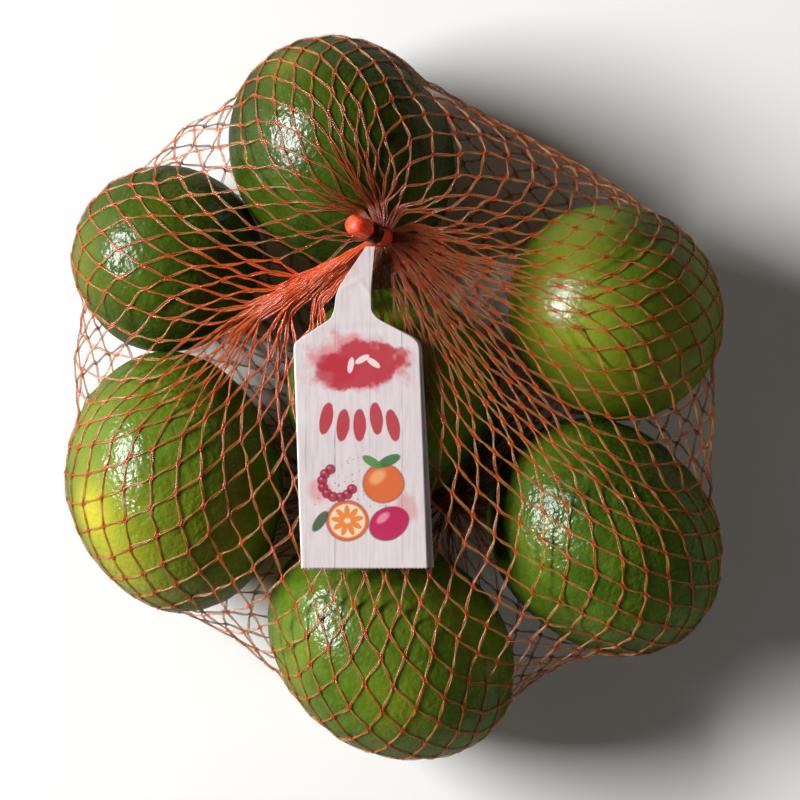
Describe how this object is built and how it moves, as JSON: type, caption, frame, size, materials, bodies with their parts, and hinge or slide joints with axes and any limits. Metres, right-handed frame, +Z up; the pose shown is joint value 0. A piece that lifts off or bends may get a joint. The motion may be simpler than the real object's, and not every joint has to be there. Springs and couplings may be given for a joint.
{
  "type": "net of oranges",
  "caption": "Knitted net bag of green-skinned oranges, gathered and clipped at both ends, with a folded paper tag; lies flat on a shelf or table.",
  "frame": {"origin": "centre of the bounding box at the floor the bag lies on", "axes": "+Z up from the floor, +Y towards the clipped end of the bag, +X to the right as seen from above"},
  "size_m": [0.199, 0.2192, 0.0766],
  "materials": {
    "net": "knitted orange-red film threads, slightly shiny",
    "peel": "waxy green citrus peel with fine pores",
    "clip": "bent steel band",
    "tag": null
  },
  "bodies": {
    "root": {"filled_net": "net", "clip_top": "clip", "clip_base": "clip", "tag": "tag"}
  },
  "joints": []
}
